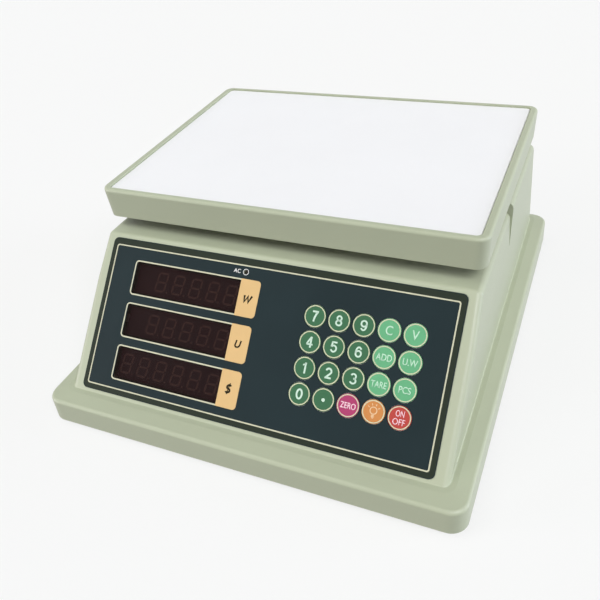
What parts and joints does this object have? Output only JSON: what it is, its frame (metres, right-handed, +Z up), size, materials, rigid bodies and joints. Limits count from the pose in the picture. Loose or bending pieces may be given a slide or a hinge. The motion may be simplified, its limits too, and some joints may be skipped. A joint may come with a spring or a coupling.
{
  "type": "counting scale",
  "caption": "Counter-top counting and price-computing scale: sloped keypad and display panel, lift-off weighing platform on a load cell, plinth base on screw feet.",
  "frame": {"origin": "under the middle of the base, on the surface that the feet stand on", "axes": "+X to the user's right, +Y to the back, +Z up"},
  "size_m": [0.2774, 0.308, 0.1289],
  "materials": {
    "casing": "moulded ABS in a pale sage green, fine satin grain",
    "base_plastic": "moulded ABS, same sage green, fine texture",
    "plate_metal": "white enamelled steel sheet, satin",
    "aluminium": "machined and die-cast aluminium",
    "steel": "zinc-plated steel",
    "rubber": "black rubber",
    "overlay": "reverse-printed polyester, dark blue-green, fine matt grain",
    "filter": "dark red acrylic",
    "led": "epoxy-filled seven-segment module, unlit",
    "lamp": "clear epoxy lamp, unlit",
    "circuit": "printed polyester switch sheet with snap domes",
    "board": "glass-epoxy circuit board, green resist",
    "component": "black moulded packages",
    "copper": "varnished copper winding",
    "iron": "varnished laminated iron",
    "battery": "sealed lead-acid battery case",
    "inlet": "black nylon inlet with two pins",
    "cable": "PVC-insulated leads",
    "key_number": "dark green printed key, cream ring, white figure",
    "key_function": "light green printed key, cream ring, white legend",
    "key_zero": "magenta printed key, cream ring, white legend",
    "key_light": "orange printed key, cream ring, white lamp sign",
    "key_power": "red printed key, cream ring, white legend"
  },
  "bodies": {
    "case": {"upper_case": "casing", "lower_case": "base_plastic", "battery_cover": "base_plastic", "load_cell": "aluminium", "cell_pedestal": "aluminium", "chassis_plate": "steel", "cell_bolts": "steel", "overload_stop": "steel", "front_overlay": "overlay", "display_filters": "filter", "led_displays": "led", "power_lamp": "lamp", "keypad_circuit": "circuit", "main_board": "board", "board_components": "component", "rear_overlay": "overlay", "rear_filters": "filter", "rear_led_displays": "led", "rear_board": "board", "transformer_core": "iron", "transformer_coil": "copper", "power_board": "board", "battery": "battery", "mains_inlet": "inlet", "screws": "steel", "inner_cables": "cable"},
    "receiver": {"pan_support": "aluminium", "support_pads": "rubber", "receiver_post": "aluminium", "receiver_bolts": "steel"},
    "platform": {"platform_cover": "casing"},
    "plate": {"weighing_plate": "plate_metal"},
    "key_7": {"key_7": "key_number"},
    "key_8": {"key_8": "key_number"},
    "key_9": {"key_9": "key_number"},
    "key_clear": {"key_clear": "key_function"},
    "key_v": {"key_v": "key_function"},
    "key_4": {"key_4": "key_number"},
    "key_5": {"key_5": "key_number"},
    "key_6": {"key_6": "key_number"},
    "key_add": {"key_add": "key_function"},
    "key_unit_weight": {"key_unit_weight": "key_function"},
    "key_1": {"key_1": "key_number"},
    "key_2": {"key_2": "key_number"},
    "key_3": {"key_3": "key_number"},
    "key_tare": {"key_tare": "key_function"},
    "key_pieces": {"key_pieces": "key_function"},
    "key_0": {"key_0": "key_number"},
    "key_point": {"key_point": "key_number"},
    "key_zero": {"key_zero": "key_zero"},
    "key_light": {"key_light": "key_light"},
    "key_on_off": {"key_on_off": "key_power"},
    "foot_front_left": {"foot_sole_front_left": "rubber"},
    "stud_front_left": {"foot_stud_front_left": "steel"},
    "foot_front_right": {"foot_sole_front_right": "rubber"},
    "stud_front_right": {"foot_stud_front_right": "steel"},
    "foot_rear_left": {"foot_sole_rear_left": "rubber"},
    "stud_rear_left": {"foot_stud_rear_left": "steel"},
    "foot_rear_right": {"foot_sole_rear_right": "rubber"},
    "stud_rear_right": {"foot_stud_rear_right": "steel"}
  },
  "joints": [
    {"name": "load_cell_give", "type": "slide", "parent": "case", "child": "receiver", "axis": [0, 0, 1], "range_m": [-0.0008, 0], "stiffness_N_per_m": 400000, "deforming": ["load_cell"]},
    {"name": "platform_lift_off", "type": "slide", "parent": "receiver", "child": "platform", "axis": [0, 0, 1], "range_m": [0, 0.05]},
    {"name": "plate_lift_off", "type": "slide", "parent": "platform", "child": "plate", "axis": [0, 0, 1], "range_m": [0, 0.03]},
    {"name": "press_7", "type": "slide", "parent": "case", "child": "key_7", "axis": [0, -0.7199, 0.694], "range_m": [-0.0004, 0], "stiffness_N_per_m": 5000},
    {"name": "press_8", "type": "slide", "parent": "case", "child": "key_8", "axis": [0, -0.7199, 0.694], "range_m": [-0.0004, 0], "stiffness_N_per_m": 5000},
    {"name": "press_9", "type": "slide", "parent": "case", "child": "key_9", "axis": [0, -0.7199, 0.694], "range_m": [-0.0004, 0], "stiffness_N_per_m": 5000},
    {"name": "press_clear", "type": "slide", "parent": "case", "child": "key_clear", "axis": [0, -0.7199, 0.694], "range_m": [-0.0004, 0], "stiffness_N_per_m": 5000},
    {"name": "press_v", "type": "slide", "parent": "case", "child": "key_v", "axis": [0, -0.7199, 0.694], "range_m": [-0.0004, 0], "stiffness_N_per_m": 5000},
    {"name": "press_4", "type": "slide", "parent": "case", "child": "key_4", "axis": [0, -0.7199, 0.694], "range_m": [-0.0004, 0], "stiffness_N_per_m": 5000},
    {"name": "press_5", "type": "slide", "parent": "case", "child": "key_5", "axis": [0, -0.7199, 0.694], "range_m": [-0.0004, 0], "stiffness_N_per_m": 5000},
    {"name": "press_6", "type": "slide", "parent": "case", "child": "key_6", "axis": [0, -0.7199, 0.694], "range_m": [-0.0004, 0], "stiffness_N_per_m": 5000},
    {"name": "press_add", "type": "slide", "parent": "case", "child": "key_add", "axis": [0, -0.7199, 0.694], "range_m": [-0.0004, 0], "stiffness_N_per_m": 5000},
    {"name": "press_unit_weight", "type": "slide", "parent": "case", "child": "key_unit_weight", "axis": [0, -0.7199, 0.694], "range_m": [-0.0004, 0], "stiffness_N_per_m": 5000},
    {"name": "press_1", "type": "slide", "parent": "case", "child": "key_1", "axis": [0, -0.7199, 0.694], "range_m": [-0.0004, 0], "stiffness_N_per_m": 5000},
    {"name": "press_2", "type": "slide", "parent": "case", "child": "key_2", "axis": [0, -0.7199, 0.694], "range_m": [-0.0004, 0], "stiffness_N_per_m": 5000},
    {"name": "press_3", "type": "slide", "parent": "case", "child": "key_3", "axis": [0, -0.7199, 0.694], "range_m": [-0.0004, 0], "stiffness_N_per_m": 5000},
    {"name": "press_tare", "type": "slide", "parent": "case", "child": "key_tare", "axis": [0, -0.7199, 0.694], "range_m": [-0.0004, 0], "stiffness_N_per_m": 5000},
    {"name": "press_pieces", "type": "slide", "parent": "case", "child": "key_pieces", "axis": [0, -0.7199, 0.694], "range_m": [-0.0004, 0], "stiffness_N_per_m": 5000},
    {"name": "press_0", "type": "slide", "parent": "case", "child": "key_0", "axis": [0, -0.7199, 0.694], "range_m": [-0.0004, 0], "stiffness_N_per_m": 5000},
    {"name": "press_point", "type": "slide", "parent": "case", "child": "key_point", "axis": [0, -0.7199, 0.694], "range_m": [-0.0004, 0], "stiffness_N_per_m": 5000},
    {"name": "press_zero", "type": "slide", "parent": "case", "child": "key_zero", "axis": [0, -0.7199, 0.694], "range_m": [-0.0004, 0], "stiffness_N_per_m": 5000},
    {"name": "press_light", "type": "slide", "parent": "case", "child": "key_light", "axis": [0, -0.7199, 0.694], "range_m": [-0.0004, 0], "stiffness_N_per_m": 5000},
    {"name": "press_on_off", "type": "slide", "parent": "case", "child": "key_on_off", "axis": [0, -0.7199, 0.694], "range_m": [-0.0004, 0], "stiffness_N_per_m": 5000},
    {"name": "foot_height_front_left", "type": "slide", "parent": "case", "child": "foot_front_left", "axis": [0, 0, 1], "range_m": [-0.005, 0]},
    {"name": "foot_turn_front_left", "type": "hinge", "parent": "foot_front_left", "child": "stud_front_left", "pos_m": [-0.112, -0.128, 0.0034], "axis": [0, 0, 1], "range_deg": [-1441, 1]},
    {"name": "foot_height_front_right", "type": "slide", "parent": "case", "child": "foot_front_right", "axis": [0, 0, 1], "range_m": [-0.005, 0]},
    {"name": "foot_turn_front_right", "type": "hinge", "parent": "foot_front_right", "child": "stud_front_right", "pos_m": [0.112, -0.128, 0.0034], "axis": [0, 0, 1], "range_deg": [-1441, 1]},
    {"name": "foot_height_rear_left", "type": "slide", "parent": "case", "child": "foot_rear_left", "axis": [0, 0, 1], "range_m": [-0.005, 0]},
    {"name": "foot_turn_rear_left", "type": "hinge", "parent": "foot_rear_left", "child": "stud_rear_left", "pos_m": [-0.112, 0.128, 0.0034], "axis": [0, 0, 1], "range_deg": [-1441, 1]},
    {"name": "foot_height_rear_right", "type": "slide", "parent": "case", "child": "foot_rear_right", "axis": [0, 0, 1], "range_m": [-0.005, 0]},
    {"name": "foot_turn_rear_right", "type": "hinge", "parent": "foot_rear_right", "child": "stud_rear_right", "pos_m": [0.112, 0.128, 0.0034], "axis": [0, 0, 1], "range_deg": [-1441, 1]}
  ],
  "couplings": [
    {"joint": "foot_turn_front_left", "follows": "foot_height_front_left", "rad_per_m": 5026.5},
    {"joint": "foot_turn_front_right", "follows": "foot_height_front_right", "rad_per_m": 5026.5},
    {"joint": "foot_turn_rear_left", "follows": "foot_height_rear_left", "rad_per_m": 5026.5},
    {"joint": "foot_turn_rear_right", "follows": "foot_height_rear_right", "rad_per_m": 5026.5}
  ]
}
